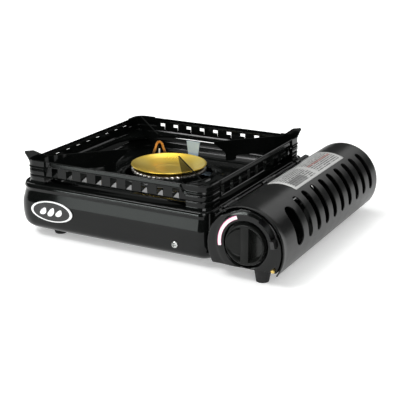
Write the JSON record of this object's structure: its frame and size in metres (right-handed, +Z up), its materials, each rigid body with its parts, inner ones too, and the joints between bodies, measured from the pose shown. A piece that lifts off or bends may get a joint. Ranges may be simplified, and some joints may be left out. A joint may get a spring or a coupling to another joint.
{
  "type": "portable butane stove",
  "caption": "Flat portable gas stove with a square vented wind guard, corner pot fins, a round burner, a control knob and a slotted hinged cover over its canister bay.",
  "frame": {"origin": "middle of the stove's box at the ground, under its four feet", "axes": "+X to the right, towards the canister bay; +Y to the back, away from the knob; +Z up"},
  "size_m": [0.352, 0.3104, 0.104],
  "materials": {
    "black_enamel": "gloss",
    "cover_paint": "satin",
    "zinc_steel": "satin",
    "burner_steel": "satin",
    "cast_aluminium": "matte",
    "plate_aluminium": "satin",
    "brass": "satin",
    "burner_brass": "polished",
    "copper": "satin",
    "white_ceramic": "gloss",
    "black_plastic": "satin",
    "knob_plastic": "satin",
    "foot_rubber": "matte",
    "lead_rubber": "matte",
    "badge_print": "satin",
    "panel_print": "satin",
    "label": "satin"
  },
  "bodies": {
    "stove_body": {"lower_body": "black_enamel", "top_plate": "black_enamel", "bay_divider": "black_enamel", "canister_tray": "black_enamel", "rear_bulkhead": "black_enamel", "control_panel": "black_enamel", "front_bulkhead": "zinc_steel", "hinge_rod": "zinc_steel", "front_screw": "zinc_steel", "mixing_tube": "zinc_steel", "burner_stand": "zinc_steel", "flame_port_ring": "burner_steel", "front_badge": "badge_print", "flame_scale": "panel_print", "regulator_body": "cast_aluminium", "burner_cup": "cast_aluminium", "heat_plate": "plate_aluminium", "gas_inlet": "brass", "gas_jet": "brass", "relief_outlet": "brass", "burner_head": "burner_brass", "electrode_hoop": "copper", "spark_electrode": "white_ceramic", "piezo_igniter": "black_plastic", "ignition_lead": "lead_rubber", "foot_front_left": "foot_rubber", "foot_front_right": "foot_rubber", "foot_rear_left": "foot_rubber", "foot_rear_right": "foot_rubber"},
    "pan_support": {"wind_guard": "black_enamel", "corner_leg_front_left": "black_enamel", "corner_leg_front_right": "black_enamel", "corner_leg_rear_left": "black_enamel", "corner_leg_rear_right": "black_enamel", "pot_fin_front_left": "black_enamel", "pot_fin_front_right": "black_enamel", "pot_fin_rear_left": "black_enamel", "pot_fin_rear_right": "black_enamel"},
    "cover": {"canister_cover": "cover_paint", "cover_label": "label"},
    "knob": {"control_knob": "knob_plastic", "knob_shaft": "zinc_steel"},
    "lever": {"lock_lever": "black_plastic"},
    "clamp": {"canister_clamp": "zinc_steel"}
  },
  "joints": [
    {"name": "pan_support_lift", "type": "slide", "parent": "stove_body", "child": "pan_support", "axis": [0, 0, 1], "range_m": [0, 0.08]},
    {"name": "cover_hinge", "type": "hinge", "parent": "stove_body", "child": "cover", "pos_m": [0.0926, -0.00575, 0.0702], "axis": [0, -1, 0], "range_deg": [0, 80]},
    {"name": "knob_turn", "type": "hinge", "parent": "stove_body", "child": "knob", "pos_m": [0.133, -0.14775, 0.0445], "axis": [0, -1, 0], "range_deg": [0, 105]},
    {"name": "lock_lever_turn", "type": "hinge", "parent": "stove_body", "child": "lever", "pos_m": [0.133, -0.14015, 0.0445], "axis": [0, -1, 0], "range_deg": [0, 42]},
    {"name": "clamp_slide", "type": "slide", "parent": "stove_body", "child": "clamp", "axis": [0, 1, 0], "range_m": [0, 0.0044]}
  ],
  "couplings": [
    {"joint": "lock_lever_turn", "follows": "clamp_slide", "rad_per_m": 166.5}
  ]
}
